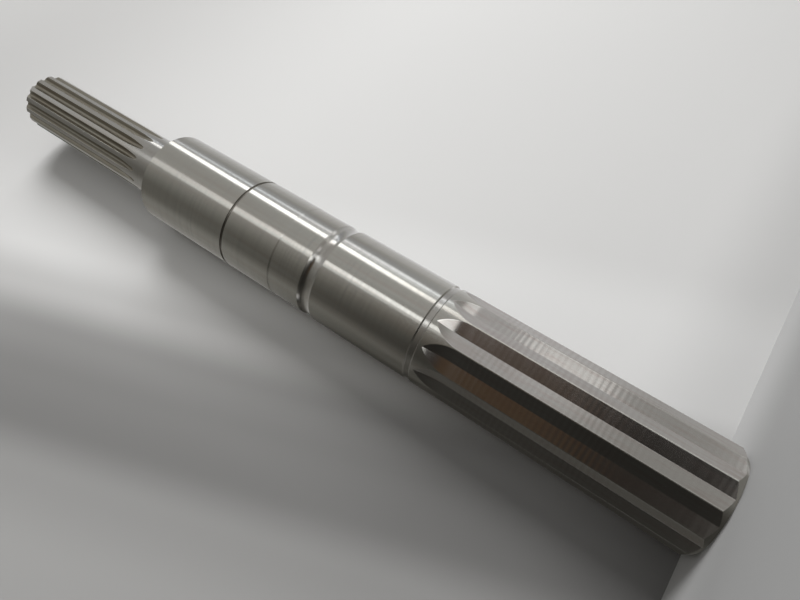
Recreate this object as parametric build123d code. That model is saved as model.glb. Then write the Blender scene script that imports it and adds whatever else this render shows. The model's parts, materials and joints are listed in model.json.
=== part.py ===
from build123d import *
from math import acos, cos, degrees, pi, radians, sin, sqrt, tan
import os

# Drive shaft turned, ground and hobbed from one steel bar. It stands on its large
# splined end: Z is the shaft's axis, Z = 0 is the face of that end, and +X runs
# through a ridge of the large spline and a tooth space of the small one. Millimetres.

# Large end: twelve wide V-shaped tooth spaces
big_teeth = 12
big_major_radius = 19.2
big_root_radius = 17.5
big_crest_land = 0.3            # width of bar surface left along each ridge
big_spline_length = 91.0        # full depth, measured from the end face
big_end_chamfer = 2.7
spline_neck_length = 1.3        # plain collar between the run-outs and the relief

# Small end: fifteen involute teeth, 16/32 diametral pitch, 30 degree pressure angle
small_teeth = 15
small_module = 25.4 / 16
pressure_angle = 30.0
small_major_radius = 12.5
small_form_radius = 11.2        # where the involute flank meets the root arc
small_root_radius = 10.85
small_spline_length = 63.2      # full depth, measured from the end face
small_end_chamfer = 1.2
stub_plain_length = 12.7        # plain round between the shoulder and the run-outs
shoulder_fillet = 1.0

# Body, from the large spline up to the shoulder
relief_width = 3.0
relief_radius = 18.6
relief_slope = 0.5              # length of each sloping side of the relief
lower_seat_radius = 19.1
lower_seat_length = 42.2
neck_width = 5.9
neck_depth = 0.8
clear_radius = 18.96            # turned length beside the neck, just under the seat
clear_length = 14.0
step_length = 0.8
middle_seat_radius = 19.05
middle_seat_length = 23.5
ring_groove_width = 1.2
ring_groove_depth = 0.7
upper_seat_radius = 19.0
upper_seat_length = 44.9
shoulder_chamfer = 0.5

# Centre holes, form A
big_centre_pilot = 6.3
big_centre_mouth = 13.2
small_centre_pilot = 4.0
small_centre_mouth = 8.5
centre_angle = 60.0
centre_pilot_ratio = 1.2        # straight pilot length in pilot diameters

# The round cutter leaves every tooth space on an arc of its own radius
cutter_radius = 38.0
cut_margin = 1.0                # how far cutting shapes reach past the metal


def runout_length(depth):
    """Axial length of the arc that a cutter leaves when it lifts from this depth."""
    return sqrt(2 * cutter_radius * depth - depth**2)


def runout_sweep(depth):
    """Angle, in degrees, that lifts the cutter from this depth to clear of the metal."""
    return degrees(acos(1 - (depth + cut_margin) / cutter_radius))


# Stations along the axis, each built on the one below it
big_runout_end = big_spline_length + runout_length(big_major_radius - big_root_radius)
relief_start = big_runout_end + spline_neck_length
lower_seat_start = relief_start + relief_width
neck_start = lower_seat_start + lower_seat_length
clear_start = neck_start + neck_width
step_start = clear_start + clear_length
middle_seat_start = step_start + step_length
groove_start = middle_seat_start + middle_seat_length
upper_seat_start = groove_start + ring_groove_width
shoulder = upper_seat_start + upper_seat_length
small_runout_start = shoulder + stub_plain_length
small_full_depth = small_runout_start + runout_length(small_major_radius - small_root_radius)
shaft_length = small_full_depth + small_spline_length


def turned_outline():
    """Half section of the shaft before any tooth is cut, as one closed outline."""
    axis_start = (0, 0)
    axis_end = (0, shaft_length)
    large_end = Polyline(
        axis_start,
        (big_major_radius - big_end_chamfer, 0),
        (big_major_radius, big_end_chamfer),
        (big_major_radius, relief_start),
        (relief_radius, relief_start + relief_slope),
        (relief_radius, lower_seat_start - relief_slope),
        (lower_seat_radius, lower_seat_start),
        (lower_seat_radius, neck_start),
    )
    neck_middle = (lower_seat_radius + clear_radius) / 2 - neck_depth
    neck = ThreePointArc(
        (lower_seat_radius, neck_start),
        (neck_middle, neck_start + neck_width / 2),
        (clear_radius, clear_start),
    )
    middle = Polyline(
        (clear_radius, clear_start),
        (clear_radius, step_start),
        (middle_seat_radius, middle_seat_start),
        (middle_seat_radius, groove_start),
    )
    groove_floor = (middle_seat_radius + upper_seat_radius) / 2 - ring_groove_depth
    groove = ThreePointArc(
        (middle_seat_radius, groove_start),
        (groove_floor, groove_start + ring_groove_width / 2),
        (upper_seat_radius, upper_seat_start),
    )
    upper = Polyline(
        (upper_seat_radius, upper_seat_start),
        (upper_seat_radius, shoulder - shoulder_chamfer),
        (upper_seat_radius - shoulder_chamfer, shoulder),
        (small_major_radius + shoulder_fillet, shoulder),
    )
    corner = shoulder_fillet * (1 - sqrt(2) / 2)
    fillet_arc = ThreePointArc(
        (small_major_radius + shoulder_fillet, shoulder),
        (small_major_radius + corner, shoulder + corner),
        (small_major_radius, shoulder + shoulder_fillet),
    )
    stub = Polyline(
        (small_major_radius, shoulder + shoulder_fillet),
        (small_major_radius, shaft_length - small_end_chamfer),
        (small_major_radius - small_end_chamfer, shaft_length),
        axis_end,
        axis_start,
    )
    return [large_end, neck, middle, groove, upper, fillet_arc, stub]


def turned_blank():
    """The bar as it leaves the lathe and the grinder."""
    section = make_face(Plane.XZ * Curve(children=turned_outline()))
    return revolve(section, Axis.Z)


def centre_hole(pilot, mouth):
    """Centre hole that opens downwards at Z = 0 and narrows upwards to its pilot."""
    cone_height = (mouth - pilot) / 2 / tan(radians(centre_angle / 2))
    pilot_end = cone_height + pilot * centre_pilot_ratio
    tip_height = pilot / 2 / tan(radians(centre_angle))
    section = Polyline(
        (0, 0),
        (mouth / 2, 0),
        (pilot / 2, cone_height),
        (pilot / 2, pilot_end),
        (0, pilot_end + tip_height),
        (0, 0),
    )
    return revolve(make_face(Plane.XZ * section), Axis.Z)


def big_space_profile():
    """V-shaped tooth space, centred on +X, that leaves a narrow land on each ridge."""
    land_angle = degrees(big_crest_land / big_major_radius)
    edge_angle = radians((360 / big_teeth - land_angle) / 2)
    edge = (big_major_radius * cos(edge_angle), big_major_radius * sin(edge_angle))
    reach = big_major_radius + cut_margin
    flank_slope = edge[1] / (edge[0] - big_root_radius)
    reach_width = (reach - big_root_radius) * flank_slope
    return make_face(
        Polyline(
            (big_root_radius, 0),
            (reach, reach_width),
            (reach, -reach_width),
            (big_root_radius, 0),
        )
    )


def involute(angle):
    """Involute function of an angle in radians."""
    return tan(angle) - angle


def flank_point(radius):
    """Point of a tooth space's upper flank at this radius, with the space on +X."""
    pitch_radius = small_teeth * small_module / 2
    base_radius = pitch_radius * cos(radians(pressure_angle))
    half_tooth = pi / 2 / small_teeth + involute(radians(pressure_angle))
    half_tooth -= involute(acos(base_radius / radius))
    half_space = pi / small_teeth - half_tooth
    return Vector(radius * cos(half_space), radius * sin(half_space))


def mirrored(point):
    """The same point on the lower flank."""
    return Vector(point.X, -point.Y)


def small_space_profile():
    """Involute tooth space with a round root, centred on +X."""
    form = flank_point(small_form_radius)
    tip = flank_point(small_major_radius)
    middle = flank_point((small_form_radius + small_major_radius) / 2)
    outward = (tip - middle).normalized() * cut_margin * 2
    above = tip + outward
    lines = [
        ThreePointArc(mirrored(form), (small_root_radius, 0), form),
        ThreePointArc(form, middle, tip),
        Polyline(tip, above, mirrored(above), mirrored(tip)),
        ThreePointArc(mirrored(tip), mirrored(middle), mirrored(form)),
    ]
    return make_face(Curve(children=lines))


def tooth_space(profile, root_radius, major_radius, end, full_depth):
    """One cut: straight from the shaft's end, then out along the cutter's arc."""
    toward_shaft = 1 if full_depth > end else -1
    at_depth = Pos(0, 0, full_depth) * profile
    past_end = abs(full_depth - end) + cut_margin
    straight = extrude(at_depth, amount=past_end, dir=(0, 0, -toward_shaft))
    spindle = Axis((root_radius + cutter_radius, 0, full_depth), (0, toward_shaft, 0))
    sweep = runout_sweep(major_radius - root_radius)
    return straight + revolve(at_depth, spindle, revolution_arc=sweep)


def around(cut, count, first_angle):
    """Copies of one cut, evenly round the shaft's axis."""
    return [Rot(0, 0, first_angle + turn * 360 / count) * cut for turn in range(count)]


def splined_shaft():
    """The finished shaft, one solid."""
    shaft = turned_blank()
    big_space = tooth_space(
        big_space_profile(), big_root_radius, big_major_radius, 0, big_spline_length
    )
    shaft -= around(big_space, big_teeth, 360 / big_teeth / 2)
    small_space = tooth_space(
        small_space_profile(),
        small_root_radius,
        small_major_radius,
        shaft_length,
        small_full_depth,
    )
    shaft -= around(small_space, small_teeth, 0)
    shaft -= centre_hole(big_centre_pilot, big_centre_mouth)
    top_hole = Rot(180, 0, 0) * centre_hole(small_centre_pilot, small_centre_mouth)
    shaft -= Pos(0, 0, shaft_length) * top_hole
    return shaft


os.makedirs("parts", exist_ok=True)
shaft = splined_shaft()
export_step(shaft, "parts/splined_shaft.step")
print(f"splined_shaft: {shaft_length:.2f} mm long, {shaft.volume / 1000:.1f} cm3")
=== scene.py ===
import json
from math import acos, atan2, cos, degrees, hypot, pi, radians, sin, sqrt, tan

import bpy
from mathutils import Matrix, Vector

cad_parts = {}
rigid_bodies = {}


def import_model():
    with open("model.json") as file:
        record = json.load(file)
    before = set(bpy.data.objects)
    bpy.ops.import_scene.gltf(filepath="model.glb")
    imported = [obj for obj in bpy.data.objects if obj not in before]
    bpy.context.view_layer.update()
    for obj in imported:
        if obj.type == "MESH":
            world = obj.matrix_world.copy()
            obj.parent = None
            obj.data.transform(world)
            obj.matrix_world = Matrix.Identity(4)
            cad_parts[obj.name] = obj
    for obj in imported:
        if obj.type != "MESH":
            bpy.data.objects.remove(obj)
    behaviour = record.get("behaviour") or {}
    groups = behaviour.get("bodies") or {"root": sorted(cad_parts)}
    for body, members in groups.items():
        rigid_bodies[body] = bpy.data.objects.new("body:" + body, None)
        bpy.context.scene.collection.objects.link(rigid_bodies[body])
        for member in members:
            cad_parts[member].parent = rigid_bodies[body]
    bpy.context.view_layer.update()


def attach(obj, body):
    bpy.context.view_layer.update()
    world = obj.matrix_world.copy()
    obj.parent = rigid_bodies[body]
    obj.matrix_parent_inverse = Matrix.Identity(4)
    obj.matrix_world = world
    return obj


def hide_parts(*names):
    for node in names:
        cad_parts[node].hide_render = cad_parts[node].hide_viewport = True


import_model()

mm = 0.001
scene = bpy.context.scene
scene.view_settings.view_transform = "Standard"
print("frame loaded")

# the shaft in millimetres: Z along its axis, the large splined end on Z = 0
shaft = {
    "roundSteps": 360,
    "bigTeeth": 12, "bigRadius": 19.2, "bigRoot": 17.5, "bigLand": 0.3,
    "bigDepthEnd": 91.0, "bigChamfer": 2.7, "collar": 1.3,
    "reliefWidth": 3.0, "reliefRadius": 18.6, "reliefSlope": 0.5,
    "lowerRadius": 19.1, "lowerLength": 42.2,
    "neckWidth": 5.9, "neckDepth": 0.8, "neckSteps": 18,
    "clearRadius": 18.96, "clearLength": 14.0, "stepLength": 0.8,
    "middleRadius": 19.05, "middleLength": 23.5,
    "grooveWidth": 1.2, "grooveDepth": 0.7, "grooveSteps": 40,
    "upperRadius": 19.0, "upperLength": 44.9,
    "shoulderChamfer": 0.5, "fillet": 1.0, "filletSteps": 20,
    "stubLength": 12.7, "smallTeeth": 15, "smallModule": 25.4 / 16,
    "pressureAngle": 30.0, "smallRadius": 12.5, "smallForm": 11.2,
    "smallRoot": 10.85, "smallLength": 63.2, "smallChamfer": 1.2,
    "bigPilot": 6.3, "bigMouth": 13.2, "smallPilot": 4.0, "smallMouth": 8.5,
    "centreAngle": 60.0, "pilotRatio": 1.2,
    "cutterRadius": 38.0, "margin": 1.0, "endSupport": 4.0, "runoutSupport": 0.6,
    "runoutSteps": 24, "flankSteps": 8, "rootSteps": 14, "smoothAngle": 5.5,
    "blankMerge": 0.002, "cutterMerge": 0.0005,
}


def runoutLength(depth):  # how far along the axis the cutter's arc reaches
    return sqrt(2 * shaft["cutterRadius"] * depth - depth**2)


# places along the axis, each from the one before it
bigRunout = shaft["bigDepthEnd"] + runoutLength(shaft["bigRadius"] - shaft["bigRoot"])
reliefStart = bigRunout + shaft["collar"]
lowerStart = reliefStart + shaft["reliefWidth"]
neckStart = lowerStart + shaft["lowerLength"]
clearStart = neckStart + shaft["neckWidth"]
stepStart = clearStart + shaft["clearLength"]
middleStart = stepStart + shaft["stepLength"]
grooveStart = middleStart + shaft["middleLength"]
upperStart = grooveStart + shaft["grooveWidth"]
shoulder = upperStart + shaft["upperLength"]
smallRunout = shoulder + shaft["stubLength"]
smallDepthEnd = smallRunout + runoutLength(shaft["smallRadius"] - shaft["smallRoot"])
shaftLength = smallDepthEnd + shaft["smallLength"]


def arcPoints(start, middle, end, steps):
    # the points after start, on the arc through the middle to the end
    (x1, y1), (x2, y2), (x3, y3) = start, middle, end
    d = 2 * (x1 * (y2 - y3) + x2 * (y3 - y1) + x3 * (y1 - y2))
    s1, s2, s3 = x1**2 + y1**2, x2**2 + y2**2, x3**2 + y3**2
    cx = (s1 * (y2 - y3) + s2 * (y3 - y1) + s3 * (y1 - y2)) / d
    cy = (s1 * (x3 - x2) + s2 * (x1 - x3) + s3 * (x2 - x1)) / d
    first = atan2(y1 - cy, x1 - cx)
    turns = [(atan2(y - cy, x - cx) - first) % (2 * pi) for x, y in (middle, end)]
    sweep = turns[1] if turns[0] < turns[1] else turns[1] - 2 * pi
    radius = hypot(x1 - cx, y1 - cy)
    angles = [first + sweep * i / steps for i in range(1, steps + 1)]
    return [(cx + radius * cos(a), cy + radius * sin(a)) for a in angles]


def centreHole(pilot, mouth):  # (radius, depth) from the mouth down to the drill tip
    cone = (mouth - pilot) / 2 / tan(radians(shaft["centreAngle"] / 2))
    bottom = cone + pilot * shaft["pilotRatio"]
    tip = bottom + pilot / 2 / tan(radians(shaft["centreAngle"]))
    return [(mouth / 2, 0), (pilot / 2, cone), (pilot / 2, bottom), (0, tip)]


def turnedOutline():  # (radius, height) from the lower drill tip to the upper one
    s = shaft
    lowerHole = centreHole(s["bigPilot"], s["bigMouth"])
    upperHole = centreHole(s["smallPilot"], s["smallMouth"])
    line = list(reversed(lowerHole))
    line += [
        (s["bigRadius"] - s["bigChamfer"], 0),
        (s["bigRadius"], s["bigChamfer"]),
        (s["bigRadius"], reliefStart),
        (s["reliefRadius"], reliefStart + s["reliefSlope"]),
        (s["reliefRadius"], lowerStart - s["reliefSlope"]),
        (s["lowerRadius"], lowerStart),
        (s["lowerRadius"], neckStart),
    ]
    neckRadius = (s["lowerRadius"] + s["clearRadius"]) / 2 - s["neckDepth"]
    line += arcPoints(
        line[-1],
        (neckRadius, neckStart + s["neckWidth"] / 2),
        (s["clearRadius"], clearStart),
        s["neckSteps"],
    )
    line += [
        (s["clearRadius"], stepStart),
        (s["middleRadius"], middleStart),
        (s["middleRadius"], grooveStart),
    ]
    grooveRadius = (s["middleRadius"] + s["upperRadius"]) / 2 - s["grooveDepth"]
    line += arcPoints(
        line[-1],
        (grooveRadius, grooveStart + s["grooveWidth"] / 2),
        (s["upperRadius"], upperStart),
        s["grooveSteps"],
    )
    corner = s["fillet"] * (1 - sqrt(2) / 2)
    line += [
        (s["upperRadius"], shoulder - s["shoulderChamfer"]),
        (s["upperRadius"] - s["shoulderChamfer"], shoulder),
        (s["smallRadius"] + s["fillet"], shoulder),
    ]
    line += arcPoints(
        line[-1],
        (s["smallRadius"] + corner, shoulder + corner),
        (s["smallRadius"], shoulder + s["fillet"]),
        s["filletSteps"],
    )
    line += [
        (s["smallRadius"], shaftLength - s["smallChamfer"]),
        (s["smallRadius"] - s["smallChamfer"], shaftLength),
    ]
    line += [(r, shaftLength - depth) for r, depth in upperHole]
    return line


def editMode(kind="VERT"):
    bpy.ops.object.mode_set(mode="EDIT")
    bpy.ops.mesh.select_mode(type=kind)


def objectMode():
    bpy.ops.object.mode_set(mode="OBJECT")


def onlySelect(piece):
    bpy.ops.object.select_all(action="DESELECT")
    piece.select_set(True)
    bpy.context.view_layer.objects.active = piece


def pickFaces(piece, test):  # leaves edit mode on, with the right faces selected
    objectMode()
    mesh = piece.data
    mesh.vertices.foreach_set("select", [False] * len(mesh.vertices))
    mesh.edges.foreach_set("select", [False] * len(mesh.edges))
    chosen = [test(p.center / mm, p.normal) for p in mesh.polygons]
    mesh.polygons.foreach_set("select", chosen)
    editMode("FACE")


def drawLine(name, points):  # one vertex, pulled along the points
    bpy.ops.object.select_all(action="DESELECT")
    bpy.ops.mesh.primitive_plane_add(size=mm)
    piece = bpy.context.object
    piece.name = piece.data.name = name
    editMode()
    bpy.ops.mesh.select_all(action="SELECT")
    bpy.ops.mesh.merge(type="CENTER")
    here = Vector((0, 0, 0))
    for number, point in enumerate(points):
        there = Vector(point) * mm
        step = tuple(there - here)
        if number:
            bpy.ops.mesh.extrude_region_move(TRANSFORM_OT_translate={"value": step})
        else:
            bpy.ops.transform.translate(value=step)
        here = there
    return piece


def closedBySpin(steps, startTurn):  # spins the line that is being edited
    bpy.ops.mesh.select_all(action="SELECT")
    bpy.ops.transform.rotate(
        value=radians(startTurn), orient_axis="Z", center_override=(0, 0, 0)
    )
    bpy.ops.mesh.spin(steps=steps, angle=2 * pi, center=(0, 0, 0), axis=(0, 0, 1))
    bpy.ops.mesh.select_all(action="SELECT")
    bpy.ops.mesh.remove_doubles(threshold=shaft["blankMerge"] * mm)
    bpy.ops.mesh.normals_make_consistent(inside=False)


def makeBlank():  # the turned and ground bar, before any tooth is cut
    outline = turnedOutline()
    blank = drawLine("splinedShaft", [(r, 0, z) for r, z in outline])
    # half a step round puts every ridge in the middle of a facet
    closedBySpin(shaft["roundSteps"], 180 / shaft["roundSteps"])
    objectMode()
    return blank


def makeCutter(name, outline, root, outer, farEnd, depthEnd):
    # outline is the tooth space's section on +X; the sweep leaves on the cutter's arc
    toShaft = 1 if depthEnd > farEnd else -1
    outside = farEnd - toShaft * shaft["margin"]
    piece = drawLine(name, [(x, y, outside) for x, y in outline])
    bpy.ops.mesh.select_all(action="SELECT")
    bpy.ops.mesh.edge_face_add()
    bpy.ops.mesh.select_mode(type="FACE")
    full = abs(depthEnd - farEnd) + shaft["margin"]
    done = 0
    for reach in (shaft["margin"] + shaft["endSupport"], full - shaft["runoutSupport"], full):
        bpy.ops.mesh.extrude_region_move(
            TRANSFORM_OT_translate={"value": (0, 0, toShaft * (reach - done) * mm)}
        )
        done = reach
    radius = shaft["cutterRadius"]
    sweep = acos(1 - (outer - root + shaft["margin"]) / radius)
    bpy.ops.mesh.spin(
        steps=shaft["runoutSteps"],
        angle=sweep,
        center=((root + radius) * mm, 0, depthEnd * mm),
        axis=(0, -toShaft, 0),
    )
    bpy.ops.mesh.select_all(action="SELECT")
    bpy.ops.mesh.remove_doubles(threshold=shaft["cutterMerge"] * mm)
    bpy.ops.mesh.normals_make_consistent(inside=False)
    objectMode()
    return piece


def bigSection():  # a wide V with a narrow land left on each ridge
    s = shaft
    edge = radians((360 / s["bigTeeth"] - degrees(s["bigLand"] / s["bigRadius"])) / 2)
    x, y = s["bigRadius"] * cos(edge), s["bigRadius"] * sin(edge)
    reach = s["bigRadius"] + s["margin"]
    width = (reach - s["bigRoot"]) * y / (x - s["bigRoot"])
    return [(s["bigRoot"], 0), (reach, width), (reach, -width)]


def involute(angle):
    return tan(angle) - angle


def flankAngle(radius):  # half the tooth space's angle at this radius
    s = shaft
    base = s["smallTeeth"] * s["smallModule"] / 2 * cos(radians(s["pressureAngle"]))
    half = pi / 2 / s["smallTeeth"] + involute(radians(s["pressureAngle"]))
    half -= involute(acos(base / radius))
    return pi / s["smallTeeth"] - half


def smallSection():
    s = shaft
    steps = s["flankSteps"]
    rise = (s["smallRadius"] - s["smallForm"]) / steps
    radii = [s["smallForm"] + rise * i for i in range(steps + 1)]
    upper = [(r * cos(flankAngle(r)), r * sin(flankAngle(r))) for r in radii]
    tip, inner = Vector(upper[-1]), Vector(upper[-3])
    upper.append(tuple(tip + (tip - inner).normalized() * s["margin"] * 2))
    lower = [(x, -y) for x, y in reversed(upper)]
    root = arcPoints(lower[-1], (s["smallRoot"], 0), upper[0], s["rootSteps"])
    return upper + lower + root[:-1]


def roundCopies(piece, count, firstAngle, group):
    for turn in range(count):
        onlySelect(piece)
        bpy.ops.object.duplicate()
        copy = bpy.context.object
        copy.rotation_euler.z = radians(firstAngle + turn * 360 / count)
        bpy.ops.object.transform_apply(location=False, rotation=True, scale=False)
        for home in copy.users_collection:
            home.objects.unlink(copy)
        group.objects.link(copy)
    bpy.data.objects.remove(piece)


def cutTeeth(blank):
    s = shaft
    cutters = bpy.data.collections.new("cutters")
    scene.collection.children.link(cutters)
    big = makeCutter(
        "bigCutter", bigSection(), s["bigRoot"], s["bigRadius"], 0, s["bigDepthEnd"]
    )
    roundCopies(big, s["bigTeeth"], 180 / s["bigTeeth"], cutters)
    small = makeCutter(
        "smallCutter",
        smallSection(),
        s["smallRoot"],
        s["smallRadius"],
        shaftLength,
        smallDepthEnd,
    )
    roundCopies(small, s["smallTeeth"], 0, cutters)
    onlySelect(blank)
    cut = blank.modifiers.new("teeth", "BOOLEAN")
    cut.operation = "DIFFERENCE"
    cut.solver = "MANIFOLD"
    cut.operand_type = "COLLECTION"
    cut.collection = cutters
    bpy.ops.object.modifier_apply(modifier=cut.name)
    for cutter in list(cutters.objects):
        bpy.data.objects.remove(cutter)
    bpy.data.collections.remove(cutters)


def makeShaft():
    blank = makeBlank()
    print("shaft turned")
    cutTeeth(blank)
    print("splines cut")
    onlySelect(blank)
    bpy.ops.object.shade_smooth_by_angle(angle=radians(shaft["smoothAngle"]))
    return blank


splinedShaft = makeShaft()
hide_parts("splined_shaft")
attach(splinedShaft, "root")
print("shaft finished")


def addNode(tree, kind, **settings):
    made = tree.nodes.new(kind)
    for name, value in settings.items():
        setattr(made, name, value)
    return made


def feed(tree, socket, source):  # a number, a colour or another node's output
    if isinstance(source, bpy.types.NodeSocket):
        tree.links.new(source, socket)
    elif source is not None:
        socket.default_value = source


def mathNode(tree, operation, first, second=None, third=None, clamp=False):
    made = addNode(tree, "ShaderNodeMath", operation=operation, use_clamp=clamp)
    for socket, source in zip(made.inputs, (first, second, third)):
        feed(tree, socket, source)
    return made.outputs[0]


def vectorMath(tree, operation, first, second=None):
    made = addNode(tree, "ShaderNodeVectorMath", operation=operation)
    feed(tree, made.inputs[0], first)
    feed(tree, made.inputs[1], second)
    return made.outputs["Value" if operation in ("LENGTH", "DOT_PRODUCT") else "Vector"]


def mapRange(tree, value, low, high, toLow=0.0, toHigh=1.0, smooth=False):
    made = addNode(tree, "ShaderNodeMapRange")
    if smooth:
        made.interpolation_type = "SMOOTHSTEP"
    for socket, source in zip(made.inputs, (value, low, high, toLow, toHigh)):
        feed(tree, socket, source)
    return made.outputs[0]


def mixColour(tree, share, first, second, blend="MIX"):
    made = addNode(tree, "ShaderNodeMix", data_type="RGBA", blend_type=blend)
    feed(tree, made.inputs["Factor"], share)
    feed(tree, made.inputs["A"], first)
    feed(tree, made.inputs["B"], second)
    return made.outputs[2]


def colourRamp(tree, share, stops, interpolation="LINEAR"):
    ramp = addNode(tree, "ShaderNodeValToRGB")
    feed(tree, ramp.inputs[0], share)
    marks = ramp.color_ramp
    marks.interpolation = interpolation
    while len(marks.elements) > 1:
        marks.elements.remove(marks.elements[-1])
    for number, (place, colour) in enumerate(stops):
        mark = marks.elements[0] if number == 0 else marks.elements.new(place)
        mark.position = place
        mark.color = (*colour, 1)
    return ramp.outputs[0]


# studio: a pale floor under the shaft and a pale backdrop close behind it, in millimetres
studio = {
    "stageSize": 6000, "backdropAzimuth": -60.0, "backdropGap": 19.25,
    "roughness": 0.9, "worldCamera": (0.69, 0.69, 0.70),
    # floor: painted shade, paler beside the backdrop and darker further off, and where it
    # starts to fade out
    "floorNear": 0.5, "floorPaintedShade": 0.36, "floorClear": 70, "floorGone": 380,
    # corner: how far from it the floor's and the backdrop's painted shade changes, and how
    # dark the backdrop's foot is painted
    "cornerReach": 45, "cornerPaintedShade": 0.8,
    # backdrop: how pale it is painted at each place across it, between the two ends given;
    # painted shade, with a painted shadow band beside the shaft
    "shadeStart": -100, "shadeEnd": 150, "shadeSlope": 0.35, "shadeWarmth": 0.0286,
    "paintedShades": [
        (-78, 0.4), (-50, 0.34), (-32, 0.23), (-14, 0.25), (4, 0.3), (25, 0.55),
        (46, 0.76), (80, 0.77), (115, 0.7),
    ],
    # the backdrop's top is painted darker towards this grey: painted shade
    "topStart": 230, "topEnd": 420, "topPaintedShade": 0.5,
}


def azimuthVector(angle):
    return Vector((cos(radians(angle)), sin(radians(angle)), 0))


def clearMix(tree, share):  # the shader turns clear where share is one
    shader = tree.nodes["Principled BSDF"]
    clear = addNode(tree, "ShaderNodeBsdfTransparent")
    mix = addNode(tree, "ShaderNodeMixShader")
    tree.links.new(share, mix.inputs[0])
    tree.links.new(shader.outputs[0], mix.inputs[1])
    tree.links.new(clear.outputs[0], mix.inputs[2])
    tree.links.new(mix.outputs[0], tree.nodes["Material Output"].inputs[0])


def paleGrey(value):  # the darker the painted shade, the warmer its grey
    tint = 1 - studio["shadeWarmth"] * (1 - value)
    return (value, value * (1 + tint) / 2, value * tint)


def makeStagePlane(name):  # a large pale plane; its colour is linked by what makes it
    bpy.ops.object.select_all(action="DESELECT")
    bpy.ops.mesh.primitive_plane_add(size=studio["stageSize"] * mm)
    plane = bpy.context.object
    plane.name = name
    material = bpy.data.materials.new("pale" + name.capitalize())
    material.use_nodes = True
    plane.data.materials.append(material)
    tree = material.node_tree
    shader = tree.nodes["Principled BSDF"]
    shader.inputs["Roughness"].default_value = studio["roughness"]
    shader.inputs["Specular IOR Level"].default_value = 0.0
    return plane, tree, shader.inputs["Base Color"]


def makeFloor():  # fades out round the shaft, so no edge of it shows; painted shade, darker away from the backdrop
    floor, tree, colour = makeStagePlane("floor")
    place = addNode(tree, "ShaderNodeTexCoord").outputs["Object"]
    facing = azimuthVector(studio["backdropAzimuth"])
    ahead = vectorMath(tree, "DOT_PRODUCT", place, facing)
    corner = mathNode(tree, "ADD", ahead, studio["backdropGap"] * mm)
    reach = studio["cornerReach"] * mm
    near, far = studio["floorNear"], studio["floorPaintedShade"]
    # painted shade: paler beside the backdrop, darker further off
    tree.links.new(mapRange(tree, corner, 0, reach, near, far, smooth=True), colour)
    away = vectorMath(tree, "LENGTH", place)
    start, end = studio["floorClear"] * mm, studio["floorGone"] * mm
    clearMix(tree, mapRange(tree, away, start, end, smooth=True))
    return floor


def makeBackdrop():  # one-sided, so the shaft can be seen from behind; painted shade across it, with a painted shadow band beside the shaft, a painted darker top and a painted darker foot
    backdrop, tree, colour = makeStagePlane("backdrop")
    facing = azimuthVector(studio["backdropAzimuth"])
    backdrop.rotation_mode = "QUATERNION"
    backdrop.rotation_quaternion = facing.to_track_quat("Z", "Y")
    backdrop.location = -facing * studio["backdropGap"] * mm
    split = addNode(tree, "ShaderNodeSeparateXYZ")
    tree.links.new(addNode(tree, "ShaderNodeTexCoord").outputs["Object"], split.inputs[0])
    x, height = split.outputs[0], split.outputs[1]
    across = mathNode(tree, "MULTIPLY_ADD", height, studio["shadeSlope"], x)
    start, end = studio["shadeStart"], studio["shadeEnd"]
    share = mapRange(tree, across, start * mm, end * mm)
    stops = [((p - start) / (end - start), paleGrey(v)) for p, v in studio["paintedShades"]]
    # painted shade across the backdrop, with a painted shadow band beside the shaft
    shade = colourRamp(tree, share, stops, "EASE")
    # painted shade: the top is painted darker
    low, high = studio["topStart"] * mm, studio["topEnd"] * mm
    top = mapRange(tree, height, low, high, smooth=True)
    shade = mixColour(tree, top, shade, (*paleGrey(studio["topPaintedShade"]), 1))
    # painted shade: the foot beside the floor is painted darker
    reach = studio["cornerReach"] * mm
    corner = mapRange(tree, height, 0, reach, studio["cornerPaintedShade"], 1, smooth=True)
    tree.links.new(mixColour(tree, 1.0, shade, corner, "MULTIPLY"), colour)
    clearMix(tree, addNode(tree, "ShaderNodeNewGeometry").outputs["Backfacing"])
    return backdrop


for stagePiece in (makeFloor(), makeBackdrop()):
    stagePiece.visible_glossy = False
    stagePiece.visible_shadow = False

# strips of light beside the shaft: degrees round it and of tilt, metres away and up
lamps = {
    "mainStrip": {
        "azimuth": -18.8, "spread": 10, "away": 0.9, "low": 0.34, "high": 1.2,
        "tilt": -20, "radiance": 2.1, "colour": (1, 1, 0.98),
    },
    "thinStrip": {
        "azimuth": -2.7, "spread": 3.5, "away": 0.9, "low": 0.34, "high": 1.2,
        "tilt": -12, "radiance": 1.1, "colour": (0.88, 0.94, 1),
    },
    "mainFoot": {
        "azimuth": -9, "spread": 15, "away": 0.9, "low": 0.34, "high": 0.6,
        "tilt": -16, "radiance": 0.75, "colour": (0.95, 0.98, 1),
    },
    "lowBar": {
        "azimuth": -29.3, "spread": 12.5, "away": 0.9, "low": 0.028, "high": 0.185,
        "tilt": 0, "radiance": 0.5, "colour": (1, 1, 0.97),
    },
    "softStrip": {
        "azimuth": -79, "spread": 14, "away": 0.9, "low": 0.34, "high": 1.15,
        "tilt": 0, "radiance": 0.6, "colour": (0.98, 1, 1),
    },
    "softStripFoot": {
        "azimuth": -76.5, "spread": 8, "away": 0.9, "low": -0.12, "high": 0.6,
        "tilt": 0, "radiance": 0.95, "colour": (0.98, 1, 1),
    },
    "roomFill": {  # lights the floor and backdrop, and never shows in the metal
        "azimuth": -20, "spread": 36, "away": 1.1, "low": 0.6, "high": 1.3,
        "tilt": 0, "radiance": 10.6, "colour": (1, 1, 1), "unseen": True,
    },
}


lightTable = {  # lies flat beside the shaft and shines up, seen by what faces down to it
    "azimuth": -86, "near": 0.06, "far": 0.9, "width": 0.042, "height": 0.08,
    "radiance": 1.15, "colour": (1, 1, 0.98),
}


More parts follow.
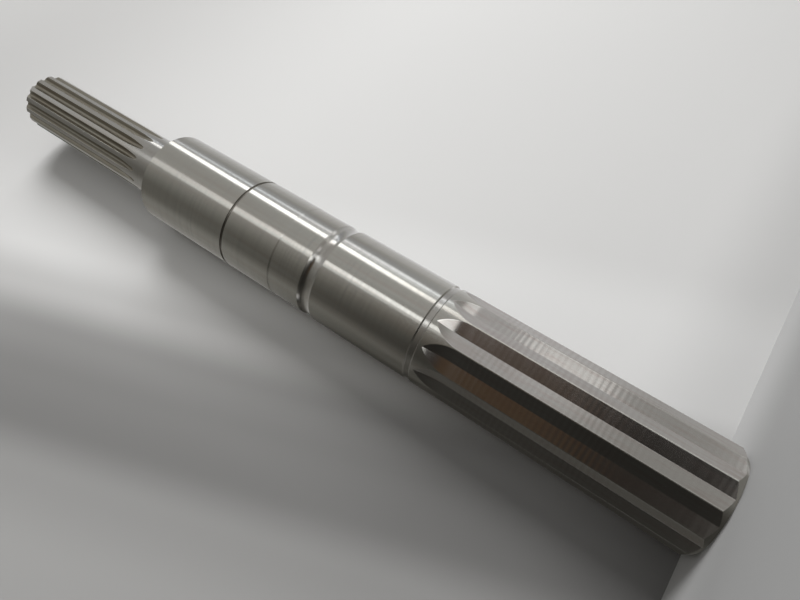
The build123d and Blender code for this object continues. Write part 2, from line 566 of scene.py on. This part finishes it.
def makeLamp(name, strip):
    lamp = bpy.data.lights.new(name, "AREA")
    lamp.shape = "RECTANGLE"
    lamp.size = 2 * strip["away"] * tan(radians(strip["spread"] / 2))
    lamp.size_y = strip["high"] - strip["low"]
    lamp.energy = strip["radiance"] * pi * lamp.size * lamp.size_y
    lamp.color = strip["colour"]
    piece = bpy.data.objects.new(name, lamp)
    scene.collection.objects.link(piece)
    outward = azimuthVector(strip["azimuth"])
    middle = (strip["high"] + strip["low"]) / 2
    piece.location = outward * strip["away"] + Vector((0, 0, middle))
    turn = (-outward).to_track_quat("-Z", "Y").to_matrix().to_4x4()
    tilted = turn @ Matrix.Rotation(radians(strip["tilt"]), 4, "Z")
    piece.rotation_euler = tilted.to_euler()
    piece.visible_camera = False
    piece.visible_glossy = "unseen" not in strip


def makeLightTable():
    lamp = bpy.data.lights.new("lightTable", "AREA")
    lamp.shape = "RECTANGLE"
    lamp.size = lightTable["far"] - lightTable["near"]
    lamp.size_y = lightTable["width"]
    lamp.energy = lightTable["radiance"] * pi * lamp.size * lamp.size_y
    lamp.color = lightTable["colour"]
    piece = bpy.data.objects.new("lightTable", lamp)
    scene.collection.objects.link(piece)
    middle = (lightTable["far"] + lightTable["near"]) / 2
    piece.location = azimuthVector(lightTable["azimuth"]) * middle
    piece.location.z = lightTable["height"]
    piece.rotation_euler = (pi, 0, radians(lightTable["azimuth"]))
    piece.visible_camera = False


for name, strip in lamps.items():
    makeLamp(name, strip)
makeLightTable()

# brightness of the room round the shaft: (degrees round it, value or colour) at each height
room = {
    "nadir": [
        (-180, 0.1), (-130, 0.04), (-90, 0.06), (0, 0.22), (60, 0.22), (85, 0.13),
        (128, 0.045), (180, 0.1),
    ],
    "foot": [
        (-180, 0.5), (-176, 0.35), (-167, 0.2), (-158, 0.05), (-122, 0.04), (-108, 0.1),
        (-97, 0.3), (-71, 0.4), (-45, 0.4), (-31, 0.45), (-26, 1.4), (-17, 1.4),
        (-10, 0.5), (20, 0.28), (42, 0.35), (54, 1.0), (64, 1.0), (72, 0.25),
        (90, 0.12), (108, 0.06), (128, 0.1), (146, 0.14), (162, 0.2), (167, 0.35),
        (175, 0.35), (180, 0.45),
    ],
    "floor": [
        (-179, 0.6), (-174, 0.05), (-157, 0.03), (-145, 0.022), (-125, 0.025),
        (-99, (0.033, 0.029, 0.025)), (-86, (0.024, 0.021, 0.018)), (-77, 0.03),
        (-68, 0.2), (-64, 0.95), (-56, 0.95), (-51, 0.3), (-31, 0.33), (-14, 0.38),
        (-9, 1.2), (-2, 1.2), (4, 0.42), (60, 0.48), (80, 0.48), (84, 0.04), (97, 0.04),
        (100, 0.9), (109, 0.9), (113, 0.06), (130, 0.04), (139, 0.03), (146, 0.085),
        (154, 0.085), (161, 0.05), (168, 0.06), (173, 0.6),
    ],
    "table": [
        (-180, 0.06), (-157, 0.04), (-147, 0.03), (-130, 0.03),
        (-105, (0.068, 0.046, 0.029)), (-99, (0.075, 0.05, 0.03)),
        (-86, (0.09, 0.067, 0.052)), (-74, (0.14, 0.13, 0.12)), (-60, 0.36),
        (-50, 0.42), (-38, 0.48), (-28, 0.5), (0, 0.46), (20, 0.52), (60, 0.76),
        (80, 0.76), (84, 0.045), (130, 0.035), (139, 0.04), (146, 0.085), (154, 0.085),
        (162, 0.05), (180, 0.06),
    ],
    "seat": [
        (-180, 0.165), (-171, 0.142), (-164, 0.108), (-155, 0.07), (-140, 0.085),
        (-127, 0.12), (-115, 0.17), (-102, 0.26), (-90, 0.35), (-65, 0.44), (-52, 0.49),
        (-42, 0.45), (-30, 0.5), (-6, (0.4, 0.41, 0.43)), (4, (0.38, 0.385, 0.4)),
        (16, (0.37, 0.37, 0.37)), (25, 0.43), (35, 0.57), (53, 0.62), (65, 0.68),
        (75, 0.78), (81, 0.85), (85, 0.05), (115, 0.045),
        (140, 0.09), (158, 0.115), (170, 0.14), (180, 0.165),
    ],
    "high": [
        (-180, 0.26), (-171, 0.22), (-164, 0.17), (-156, 0.15), (-136, 0.148),
        (-127, 0.16), (-115, 0.21), (-108, 0.25), (-96, 0.31), (-88, 0.36), (-65, 0.4),
        (-50, 0.37), (-30, 0.41), (-6, (0.39, 0.4, 0.42)), (14, (0.38, 0.385, 0.39)),
        (22, 0.4), (29, 0.47), (36, 0.55), (48, 0.63), (62, 0.7), (75, 0.78), (81, 0.85),
        (86, 0.45), (120, 0.365),
        (145, 0.295), (165, 0.285), (180, 0.265),
    ],
    "top": [
        (-180, 0.2), (-140, 0.16), (-105, 0.3), (-80, 0.52), (-60, 0.4), (-20, 0.42),
        (40, 0.45), (92, 0.7), (100, 0.35), (140, 0.3), (180, 0.2),
    ],
}
# degrees of elevation over which each of them takes over from the one before
climb = {
    "foot": (-45, -30), "floor": (-15.5, -12.5), "table": (-6, 6),
    "seat": (12.5, 18), "high": (21, 36), "top": (44, 52),
}


# a plain value is a grey, and below this much light it gets warmer as it gets darker
roomWarmth = {"below": 0.6, "green": 0.035, "blue": 0.16}


def roomColour(value):
    if isinstance(value, tuple):
        return value
    warmth = max(0.0, 1 - value / roomWarmth["below"])
    green, blue = (1 - roomWarmth[part] * warmth for part in ("green", "blue"))
    return (value, value * green, value * blue)


def makeWorld():
    world = bpy.data.worlds.new("studio")
    scene.world = world
    world.use_nodes = True
    tree = world.node_tree
    direction = addNode(tree, "ShaderNodeTexCoord").outputs["Generated"]
    split = addNode(tree, "ShaderNodeSeparateXYZ")
    tree.links.new(direction, split.inputs[0])
    x, y, z = split.outputs
    share = mapRange(tree, mathNode(tree, "ARCTAN2", y, x), -pi, pi)
    seen = None
    for name, table in room.items():
        stops = [((angle + 180) / 360, roomColour(value)) for angle, value in table]
        level = colourRamp(tree, share, stops)
        if seen is None:
            seen = level
            continue
        start, end = (sin(radians(angle)) for angle in climb[name])
        seen = mixColour(tree, mapRange(tree, z, start, end, smooth=True), seen, level)
    camera = addNode(tree, "ShaderNodeLightPath").outputs["Is Camera Ray"]
    shown = mixColour(tree, camera, seen, (*studio["worldCamera"], 1))
    tree.links.new(shown, tree.nodes["Background"].inputs[0])


makeWorld()
print("studio lit")


# finishes: colours, roughness, and the height of each mark in thousandths of a millimetre
finishes = {
    "groundSteel": {
        "base": (0.588, 0.58, 0.546), "warm": (0.56, 0.525, 0.485), "dark": (0.5, 0.5, 0.49),
        "warmShare": 0.75, "darkShare": 0.7, "roughness": 0.21, "roughSpread": 0.07,
        "anisotropy": 0.9, "rings": 1.1, "ringHeight": 7, "streaks": 0.4,
        "streakLength": 90, "streakHeight": 7, "grainHeight": 0.5,
    },
    "turnedSteel": {
        "base": (0.56, 0.55, 0.53), "warm": (0.5, 0.46, 0.42), "dark": (0.4, 0.39, 0.37),
        "warmShare": 0.5, "darkShare": 0.4, "roughness": 0.19, "roughSpread": 0.07,
        "anisotropy": 0.4, "rings": 1.6, "ringHeight": 2, "streaks": 0.3,
        "streakLength": 20, "streakHeight": 3, "grainHeight": 0.5,
    },
    "hobbedSteel": {
        "base": (0.6, 0.585, 0.57), "warm": (0.53, 0.46, 0.44), "dark": (0.5, 0.48, 0.46),
        "warmShare": 0.5, "darkShare": 0.35, "roughness": 0.13, "roughSpread": 0.05,
        "anisotropy": 0, "rings": 0.3, "ringHeight": 2, "streaks": 0.8,
        "streakLength": 14, "streakHeight": 4, "chatterHeight": 10, "grainHeight": 0.3,
        "chatterTint": 0.16,
    },
    "shapedSteel": {
        "base": (0.36, 0.34, 0.29), "warm": (0.31, 0.265, 0.21), "dark": (0.22, 0.2, 0.16),
        "warmShare": 0.7, "darkShare": 0.3, "roughness": 0.32, "roughSpread": 0.08,
        "anisotropy": 0, "rings": 0.4, "ringHeight": 2, "streaks": 1.0,
        "streakLength": 25, "streakHeight": 3, "grainHeight": 0.3,
    },
    # the ring groove's steel is coloured much darker: painted shade inside the narrow groove
    "groovePaintedShadeSteel": {
        "base": (0.3, 0.285, 0.26), "warm": (0.22, 0.19, 0.16), "dark": (0.12, 0.11, 0.1),
        "warmShare": 0.6, "darkShare": 0.6, "roughness": 0.34, "roughSpread": 0.12,
        "anisotropy": 0.3, "rings": 3, "ringHeight": 2, "streaks": 0.3,
        "streakLength": 10, "streakHeight": 2, "grainHeight": 1,
    },
}


# marks: what all finishes share, in millimetres where nothing else is said
marks = {
    "ringSpread": 35, "grainsPerMm": 2.5,  # spread: how often a mark changes in a metre
    "chatterPitch": 2.05, "chatterDrift": 1.6, "driftSpread": (45, 70),
    "chatterEnd": (24, 36), "endStrength": 0.25,
    "chatterRunout": (84, 91), "runoutStrength": 0.08,
    "patchSpread": (60, 45), "patchStrength": (0.45, 1.1),
    # the tooth tips' lighter colour is partly worn metal and partly a painted highlight
    "wearReach": 0.22, "wearSpread": (200, 90), "wearColour": (0.72, 0.71, 0.69, 1),
    "edgeRadius": 0.12, "bumpUnit": 0.001,
    # between which values of the noise each of them grows, and what it is mixed from
    "warmRange": (0.42, 0.68), "dirtRange": (0.5, 0.78), "wearRange": (0.35, 0.6),
    "patchRange": (0.35, 0.65), "roughRange": (0.25, 0.75), "leastWearAndHighlight": 0.3,
    "ringDirt": 0.6, "grainDirt": 0.4,
    "ringRough": 0.5, "streakRough": 0.25, "grainRough": 0.25,
}


def newGroup(name, inputs, outputs):  # inputs are (name, kind, value), outputs (name, kind)
    group = bpy.data.node_groups.new(name, "ShaderNodeTree")
    for label, kind, value in inputs:
        socket = group.interface.new_socket(label, in_out="INPUT", socket_type=kind)
        if value is not None:
            socket.default_value = value
    for label, kind in outputs:
        group.interface.new_socket(label, in_out="OUTPUT", socket_type=kind)
    given = addNode(group, "NodeGroupInput").outputs
    result = addNode(group, "NodeGroupOutput").inputs
    return group, given, result


def placeGroup(tree, group, **values):
    made = addNode(tree, "ShaderNodeGroup", node_tree=group)
    for name, value in values.items():
        feed(tree, made.inputs[name], value)
    return made.outputs


def stretched(tree, place, across, along):  # the place, scaled across and along the shaft
    scale = addNode(tree, "ShaderNodeCombineXYZ")
    for socket, value in zip(scale.inputs, (across, across, along)):
        feed(tree, socket, value)
    return vectorMath(tree, "MULTIPLY", place, scale.outputs[0])


def noiseValue(tree, vector, detail, rough=0.5):
    made = addNode(tree, "ShaderNodeTexNoise")
    feed(tree, made.inputs["Vector"], vector)
    feed(tree, made.inputs["Scale"], 1.0)
    feed(tree, made.inputs["Detail"], detail)
    feed(tree, made.inputs["Roughness"], rough)
    return made.outputs["Fac"]


def makeRingMarks():  # marks that run round the shaft, from the lathe and the grinder
    group, given, result = newGroup(
        "ringMarks",
        [("place", "NodeSocketVector", None), ("ringsPerMm", "NodeSocketFloat", 1.0)],
        [("rings", "NodeSocketFloat")],
    )
    along = mathNode(group, "MULTIPLY", given["ringsPerMm"], 1 / mm)
    vector = stretched(group, given["place"], marks["ringSpread"], along)
    group.links.new(noiseValue(group, vector, 4, 0.55), result["rings"])
    return group


def makeLengthStreaks():  # streaks that run with the shaft's axis
    group, given, result = newGroup(
        "lengthStreaks",
        [
            ("place", "NodeSocketVector", None),
            ("streaksPerMm", "NodeSocketFloat", 1.0),
            ("lengthMm", "NodeSocketFloat", 20.0),
        ],
        [("streaks", "NodeSocketFloat")],
    )
    across = mathNode(group, "MULTIPLY", given["streaksPerMm"], 1 / mm)
    along = mathNode(group, "DIVIDE", 1 / mm, given["lengthMm"])
    vector = stretched(group, given["place"], across, along)
    group.links.new(noiseValue(group, vector, 3), result["streaks"])
    return group


def makeFineGrain():
    group, given, result = newGroup(
        "fineGrain",
        [("place", "NodeSocketVector", None), ("grainsPerMm", "NodeSocketFloat", 3.0)],
        [("grain", "NodeSocketFloat")],
    )
    scale = mathNode(group, "MULTIPLY", given["grainsPerMm"], 1 / mm)
    vector = stretched(group, given["place"], scale, scale)
    group.links.new(noiseValue(group, vector, 2), result["grain"])
    return group


def makeChatterBands():  # ripples across a tooth space, one for each feed of the hob
    group, given, result = newGroup(
        "chatterBands",
        [("place", "NodeSocketVector", None), ("pitchMm", "NodeSocketFloat", 2.0)],
        [("bands", "NodeSocketFloat"), ("strength", "NodeSocketFloat")],
    )
    split = addNode(group, "ShaderNodeSeparateXYZ")
    group.links.new(given["place"], split.inputs[0])
    height = split.outputs[2]
    pitch = mathNode(group, "MULTIPLY", given["pitchMm"], mm)
    turns = mathNode(group, "DIVIDE", height, pitch)
    drift = noiseValue(group, stretched(group, given["place"], *marks["driftSpread"]), 1)
    phase = mathNode(group, "MULTIPLY_ADD", drift, marks["chatterDrift"], turns)
    wave = mathNode(group, "SINE", mathNode(group, "MULTIPLY", phase, 2 * pi))
    group.links.new(mathNode(group, "MULTIPLY_ADD", wave, 0.5, 0.5), result["bands"])
    low, high = (place * mm for place in marks["chatterEnd"])
    end = mapRange(group, height, low, high, marks["endStrength"], 1, smooth=True)
    low, high = (place * mm for place in marks["chatterRunout"])
    runout = mapRange(group, height, low, high, 1, marks["runoutStrength"], smooth=True)
    patches = noiseValue(group, stretched(group, given["place"], *marks["patchSpread"]), 2)
    uneven = mapRange(group, patches, *marks["patchRange"], *marks["patchStrength"])
    strength = mathNode(group, "MULTIPLY", mathNode(group, "MULTIPLY", end, runout), uneven)
    group.links.new(strength, result["strength"])
    return group


def makeRidgeWearAndHighlight():  # a lighter colour along the tips of the teeth, partly real wear and partly a painted highlight, broken up by its own noise
    group, given, result = newGroup(
        "ridgeWearAndHighlight",
        [
            ("place", "NodeSocketVector", None),
            ("tipMm", "NodeSocketFloat", 19.2),
            ("reachMm", "NodeSocketFloat", 0.3),
        ],
        [("wear", "NodeSocketFloat")],
    )
    flat = vectorMath(group, "MULTIPLY", given["place"], (1 / mm, 1 / mm, 0))
    radius = vectorMath(group, "LENGTH", flat)
    start = mathNode(group, "SUBTRACT", given["tipMm"], given["reachMm"])
    near = mapRange(group, radius, start, given["tipMm"], smooth=True)
    broken = noiseValue(group, stretched(group, given["place"], *marks["wearSpread"]), 2)
    kept = mapRange(group, broken, *marks["wearRange"], marks["leastWearAndHighlight"], 1)
    group.links.new(mathNode(group, "MULTIPLY", near, kept), result["wear"])
    return group


def makeSteelColour():
    group, given, result = newGroup(
        "steelColour",
        [
            ("base", "NodeSocketColor", (0.6, 0.6, 0.6, 1)),
            ("warm", "NodeSocketColor", (0.5, 0.45, 0.4, 1)),
            ("dark", "NodeSocketColor", (0.4, 0.4, 0.4, 1)),
            ("warmShare", "NodeSocketFloat", 0.5),
            ("darkShare", "NodeSocketFloat", 0.5),
            ("streaks", "NodeSocketFloat", 0.5),
            ("grain", "NodeSocketFloat", 0.5),
            ("wear", "NodeSocketFloat", 0.0),
        ],
        [("colour", "NodeSocketColor")],
    )
    warmth = mapRange(group, given["streaks"], *marks["warmRange"])
    warmth = mathNode(group, "MULTIPLY", warmth, given["warmShare"])
    tinted = mixColour(group, warmth, given["base"], given["warm"])
    dirt = mapRange(group, given["grain"], *marks["dirtRange"])
    dirt = mathNode(group, "MULTIPLY", dirt, given["darkShare"])
    specked = mixColour(group, dirt, tinted, given["dark"])
    # lighter along the tooth tips: partly real wear, partly a painted highlight
    wornAndHighlit = mixColour(group, given["wear"], specked, marks["wearColour"])
    group.links.new(wornAndHighlit, result["colour"])
    return group


ringMarks = makeRingMarks()
lengthStreaks = makeLengthStreaks()
fineGrain = makeFineGrain()
chatterBands = makeChatterBands()
ridgeWearAndHighlight = makeRidgeWearAndHighlight()
steelColour = makeSteelColour()


def weighted(tree, parts):  # the sum of each value times its weight
    total = None
    for value, weight in parts:
        part = mathNode(tree, "MULTIPLY", value, weight)
        total = part if total is None else mathNode(tree, "ADD", total, part)
    return total


def makeSteel(name, tip=None):  # tip is the radius of the teeth that the finish is on
    f = finishes[name]
    material = bpy.data.materials.new(name)
    material.use_nodes = True
    tree = material.node_tree
    shader = tree.nodes["Principled BSDF"]
    shader.inputs["Metallic"].default_value = 1
    shader.inputs["Anisotropic"].default_value = f["anisotropy"]
    shader.inputs["Anisotropic Rotation"].default_value = 0.25
    place = addNode(tree, "ShaderNodeTexCoord").outputs["Object"]
    rings = placeGroup(tree, ringMarks, place=place, ringsPerMm=f["rings"])["rings"]
    streaks = placeGroup(
        tree, lengthStreaks, place=place, streaksPerMm=f["streaks"], lengthMm=f["streakLength"]
    )["streaks"]
    grains = marks["grainsPerMm"]
    grain = placeGroup(tree, fineGrain, place=place, grainsPerMm=grains)["grain"]
    wear = 0.0
    if tip:
        reach = marks["wearReach"]
        wear = placeGroup(tree, ridgeWearAndHighlight, place=place, tipMm=tip, reachMm=reach)["wear"]
    heights = [
        (rings, f["ringHeight"]), (streaks, f["streakHeight"]), (grain, f["grainHeight"]),
    ]
    dirt = weighted(tree, [(rings, marks["ringDirt"]), (grain, marks["grainDirt"])])
    colour = placeGroup(
        tree, steelColour, base=(*f["base"], 1), warm=(*f["warm"], 1), dark=(*f["dark"], 1),
        warmShare=f["warmShare"], darkShare=f["darkShare"], streaks=streaks, grain=dirt,
        wear=wear,
    )["colour"]
    if "chatterHeight" in f:
        chatter = placeGroup(tree, chatterBands, place=place, pitchMm=marks["chatterPitch"])
        strength = mathNode(tree, "MULTIPLY", chatter["strength"], f["chatterHeight"])
        heights.append((chatter["bands"], strength))
        tint = mathNode(tree, "MULTIPLY", chatter["bands"], chatter["strength"])
        tint = mathNode(tree, "MULTIPLY", tint, f["chatterTint"])
        colour = mixColour(tree, tint, colour, (*f["warm"], 1), "MULTIPLY")
    tree.links.new(colour, shader.inputs["Base Color"])
    uneven = weighted(tree, [
        (rings, marks["ringRough"]), (streaks, marks["streakRough"]),
        (grain, marks["grainRough"]),
    ])
    low, high = f["roughness"] - f["roughSpread"], f["roughness"] + f["roughSpread"]
    rough = mapRange(tree, uneven, *marks["roughRange"], low, high)
    tree.links.new(rough, shader.inputs["Roughness"])
    edge = addNode(tree, "ShaderNodeBevel", samples=4)
    edge.inputs["Radius"].default_value = marks["edgeRadius"] * mm
    bump = addNode(tree, "ShaderNodeBump")
    bump.inputs["Distance"].default_value = marks["bumpUnit"] * mm
    tree.links.new(weighted(tree, heights), bump.inputs["Height"])
    tree.links.new(edge.outputs[0], bump.inputs["Normal"])
    tree.links.new(bump.outputs[0], shader.inputs["Normal"])
    return material


# where each finish starts, in millimetres; steep is the part of a normal along the axis
limits = {"skin": 0.02, "bigCore": 10, "smallCore": 9, "steep": 0.5}


def inBigSpace(c, n):
    inside = limits["bigCore"] < hypot(c.x, c.y) < shaft["bigRadius"] - limits["skin"]
    return c.z < bigRunout and inside and abs(n.z) < limits["steep"]


def onSmallTip(c, n):
    return c.z > smallRunout and hypot(c.x, c.y) > shaft["smallRadius"] - limits["skin"]


def inSmallSpace(c, n):
    inside = limits["smallCore"] < hypot(c.x, c.y) < shaft["smallRadius"] - limits["skin"]
    return c.z > smallRunout and inside and abs(n.z) < limits["steep"]


def inGroove(c, n):
    return grooveStart < c.z < upperStart


def isTurned(c, n):  # what the grinder doesn't reach
    neck = neckStart < c.z < clearStart
    relief = reliefStart < c.z < lowerStart
    chamfer = c.z < shaft["bigChamfer"] or c.z > shaftLength - shaft["smallChamfer"]
    steep = abs(n.z) > limits["steep"] or hypot(c.x, c.y) < limits["smallCore"]
    return neck or relief or chamfer or steep or shoulder < c.z < smallRunout


# later zones take their faces from earlier ones
zones = [
    ("groundSteel", None, None),
    ("turnedSteel", isTurned, None),
    ("turnedSteel", onSmallTip, None),
    ("hobbedSteel", inBigSpace, shaft["bigRadius"]),
    ("shapedSteel", inSmallSpace, shaft["smallRadius"]),
    # the groove's darker colour is painted shade
    ("groovePaintedShadeSteel", inGroove, None),
]


# two strips of surface side by side on one square sheet, in millimetres
unwrap = {
    "sheetSize": 252.0, "stripStep": 125.0, "split": 168.8, "lowest": -33.0,
    "margin": 2.0, "near": 0.005,
}


def alongSurface(c, r):  # length along the turned outline, from hole to hole
    near = unwrap["near"]
    lowRim = shaft["bigRadius"] - shaft["bigChamfer"]
    highRim = shaft["smallRadius"] - shaft["smallChamfer"]
    step = shaft["upperRadius"] - shaft["smallRadius"]
    if r < shaft["bigMouth"] / 2 + near and c.z < shaftLength / 2:
        return r - lowRim - c.z
    if c.z < near:
        return r - lowRim
    if c.z < shoulder - shaft["shoulderChamfer"] - near:
        return c.z
    if c.z < shoulder + shaft["fillet"] + near:
        return c.z + min(step, shaft["upperRadius"] - r)
    if r < shaft["smallMouth"] / 2 + near:
        return shaftLength + step + highRim - r + shaftLength - c.z
    if c.z > shaftLength - near:
        return shaftLength + step + highRim - r
    return c.z + step


def unwrapShaft():  # two strips side by side, each once round the shaft
    mesh = splinedShaft.data
    while mesh.uv_layers:
        mesh.uv_layers.remove(mesh.uv_layers[0])
    layer = mesh.uv_layers.new(name="OFBake").data
    scale = 1 / unwrap["sheetSize"]
    for face in mesh.polygons:
        centre = face.center / mm
        upper = centre.z > unwrap["split"]
        middle = atan2(centre.y, centre.x)
        for loop in face.loop_indices:
            corner = mesh.vertices[mesh.loops[loop].vertex_index].co / mm
            r = hypot(corner.x, corner.y)
            turn = atan2(corner.y, corner.x) if r > unwrap["near"] else middle
            turn += 2 * pi * round((middle - turn) / (2 * pi))
            u = (turn + pi) * shaft["bigRadius"] + (unwrap["stripStep"] if upper else 0)
            v = alongSurface(corner, r) - (unwrap["split"] if upper else unwrap["lowest"])
            layer[loop].uv = ((u + unwrap["margin"]) * scale, (v + unwrap["margin"]) * scale)


def dressShaft():
    mesh = splinedShaft.data
    mesh.materials.clear()
    onlySelect(splinedShaft)
    for name, test, tip in zones:
        if name not in mesh.materials:
            mesh.materials.append(makeSteel(name, tip))
        if test:
            pickFaces(splinedShaft, test)
            splinedShaft.active_material_index = mesh.materials.find(name)
            bpy.ops.object.material_slot_assign()
            objectMode()


dressShaft()
unwrapShaft()
print("shaft dressed")

# camera, in millimetres and degrees
view = {
    "place": (9.459, -220.185, 47.474), "turn": (123.984, 54.290, 30.085),
    "lens": 28.257, "sensor": 36, "nearest": 5,
}


def makeCamera():
    data = bpy.data.cameras.new("camera")
    data.lens = view["lens"]
    data.sensor_width = view["sensor"]
    data.clip_start = view["nearest"] * mm
    camera = bpy.data.objects.new("camera", data)
    scene.collection.objects.link(camera)
    camera.location = Vector(view["place"]) * mm
    camera.rotation_euler = [radians(a) for a in view["turn"]]
    scene.camera = camera


makeCamera()
